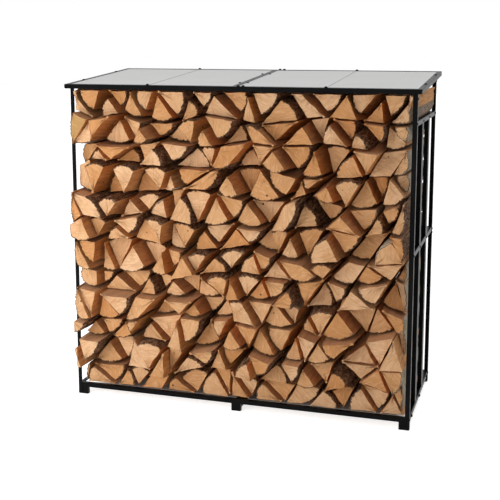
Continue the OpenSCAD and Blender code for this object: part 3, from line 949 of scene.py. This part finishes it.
def roof_bolts():
    """Flat heads on the side edges and beside the centre cover, and taller ones at the joints' ends."""
    low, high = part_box("roof_side_edges")
    depth = (low.y, high.y)
    on_edge = high.x - ANGLE_WIDTH / 2
    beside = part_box("roof_centre_cover")[1].x + COVER_GAP
    flat, tall = [], []
    for side in (-1, 1):
        for share in EDGE_SHARES:
            flat.append(on_roof(side * on_edge, between(depth, share), EDGE_FLANGE))
        for share in COVER_SHARES:
            flat.append(on_roof(side * beside, between(depth, share)))
    for x in (-high.x / 2, beside, beside + JOINT_SPACING, high.x / 2):
        tall.append(on_roof(x, low.y + ANGLE_WIDTH / 2, EDGE_FLANGE))
        tall.append(on_roof(x, high.y - BACK_INSET, EDGE_FLANGE))
    return [[(place, ROOF_NORMAL) for place in group] for group in (flat, tall)]


def frame_bolts():
    """Where rails meet legs, and where slats end behind rails."""
    low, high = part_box("leg_front_left")
    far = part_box("leg_back_right")[1]
    depth, width = (low.y, far.y), (low.x, far.x)
    near_front, near_back = low.y + LEG_INSET, far.y - LEG_INSET
    places = []
    for name, side, outer in (("left", -1, low.x), ("right", 1, far.x)):
        out = (side, 0, 0)
        rails = {level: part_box(f"{name}_{level}_rail") for level in ("bottom", "middle", "top")}
        for rail in rails.values():
            places += [((outer, y, mid_height(rail)), out) for y in (near_front, near_back)]
        face = rails["middle"][1].x if side > 0 else rails["middle"][0].x
        for level in ("middle", "top"):
            z = mid_height(rails[level]) - SLAT_DROP
            places += [((face, between(depth, share), z), out) for share in slat_shares(SIDE_SLATS)]
        places.append(((outer, near_back, rails["middle"][0].z - MIDDLE_DROP), out))
        places.append(((outer, near_back, far.z - LEG_TOP_DROP), out))
        places.append(((outer, near_front, high.z - LEG_TOP_DROP), out))
    back = (0, 1, 0)
    for level in ("bottom", "middle", "top"):
        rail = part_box(f"back_{level}_rail")
        z = mid_height(rail)
        places += [((side * (far.x - LEG_INSET), far.y, z), back) for side in (-1, 1)]
        if level != "bottom":
            spots = [between(width, share) for share in slat_shares(BACK_SLATS)]
            places += [((x, rail[1].y, z - SLAT_DROP), back) for x in spots]
    return places


def rail_bolts():
    """The larger bolts along the bottom rails of the two sides."""
    depth = (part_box("leg_front_left")[0].y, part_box("leg_back_left")[1].y)
    places = []
    for name, side in (("left", -1), ("right", 1)):
        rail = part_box(f"{name}_bottom_rail")
        face = rail[1].x if side > 0 else rail[0].x
        z = mid_height(rail) - SLAT_DROP
        places += [((face, between(depth, share), z), (side, 0, 0)) for share in RAIL_SHARES]
    return places


def build_seams():
    """The lap of one sheet over the next, a thin lip down each half of the roof."""
    low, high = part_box("roof_right_sheets")
    front, back = low.y + SEAM_FRONT, high.y - ANGLE_WIDTH
    mesh = bmesh.new()
    for x in (-high.x / 2, high.x / 2):
        rings = []
        for half, height in ((SEAM_WIDTH / 2, 0), (SEAM_WIDTH / 2 - SEAM_SLOPE, SEAM_RISE)):
            corners = ((x - half, front), (x + half, front), (x + half, back), (x - half, back))
            rings.append([on_roof(*corner, height) for corner in corners])
        add_loft(mesh, rings)
    add_steel("roof_seams", mesh, seam_material())


def dress_steel():
    """Gives the CAD's steel nodes their materials."""
    for name, node in NODES.items():
        if name.startswith("log_course"):
            continue
        material = SHEET if name.endswith("_sheets") else STEEL
        node.data.materials.clear()
        node.data.materials.append(material)


# Studio

def build_floor():
    mesh = bmesh.new()
    bmesh.ops.create_grid(
        mesh, x_segments=FLOOR_CELLS, y_segments=FLOOR_CELLS, size=FLOOR_REACH,
        matrix=Matrix.Translation((0, 0, -FLOOR_DROP)),
    )
    data = bpy.data.meshes.new("floor")
    mesh.to_mesh(data)
    mesh.free()
    data.materials.append(floor_material())
    add_object("floor", data)


def area_light(name, place, target, width, power, colour):
    """A square soft light that no reflection shows."""
    light = bpy.data.lights.new(name, "AREA")
    light.size = width
    light.energy = power
    light.color = colour
    lamp = add_object(name, light)
    lamp.visible_glossy = False
    lamp.location = place
    lamp.rotation_euler = (Vector(target) - Vector(place)).to_track_quat("-Z", "Y").to_euler()


def build_world():
    """Soft light, bright above and behind, dim and warm in front; the world itself shows as plain white."""
    world = bpy.data.worlds.new("studio")
    world.use_nodes = True
    tree = world.node_tree
    tree.nodes.clear()
    parts = parts_of(tree, add_node(tree, "ShaderNodeTexCoord").outputs["Generated"])
    upward = math_node(tree, "MULTIPLY_ADD", parts["Z"], SKY_GROWTH, 0.5)
    share = math_node(tree, "MULTIPLY_ADD", parts["Y"], SKY_GROWTH, upward)
    surround = add_node(tree, "ShaderNodeBackground", {"Color": ramp(tree, share, *SKY_STOPS)})
    backdrop = add_node(tree, "ShaderNodeBackground", {"Color": (1, 1, 1, 1)})
    shaders = {0: background_rays(tree), 1: surround.outputs[0], 2: backdrop.outputs[0]}
    both = add_node(tree, "ShaderNodeMixShader", shaders)
    add_node(tree, "ShaderNodeOutputWorld", {"Surface": both.outputs[0]})
    bpy.context.scene.world = world


def build_camera():
    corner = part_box("leg_front_left")[0]
    data = bpy.data.cameras.new("camera")
    data.lens = CAMERA_LENS
    data.shift_y = CAMERA_SHIFT
    camera = add_object("camera", data)
    camera.location = Vector((corner.x, corner.y, 0)) + CAMERA_OFFSET
    camera.rotation_euler = (math.pi / 2 - CAMERA_PITCH, 0, CAMERA_YAW)
    bpy.context.scene.camera = camera


build_camera()
build_logs()
dress_steel()
build_seams()
flat_heads, tall_heads = roof_bolts()
build_bolts("roof_bolts", flat_heads, ROOF_HEAD)
build_bolts("roof_joint_bolts", tall_heads, JOINT_HEAD)
build_bolts("frame_bolts", frame_bolts(), FRAME_HEAD)
build_bolts("rail_bolts", rail_bolts(), RAIL_HEAD)
build_floor()
build_world()
area_light("key", *KEY_LIGHT)
area_light("fill", *FILL_LIGHT)
bpy.context.scene.view_settings.view_transform = "Standard"
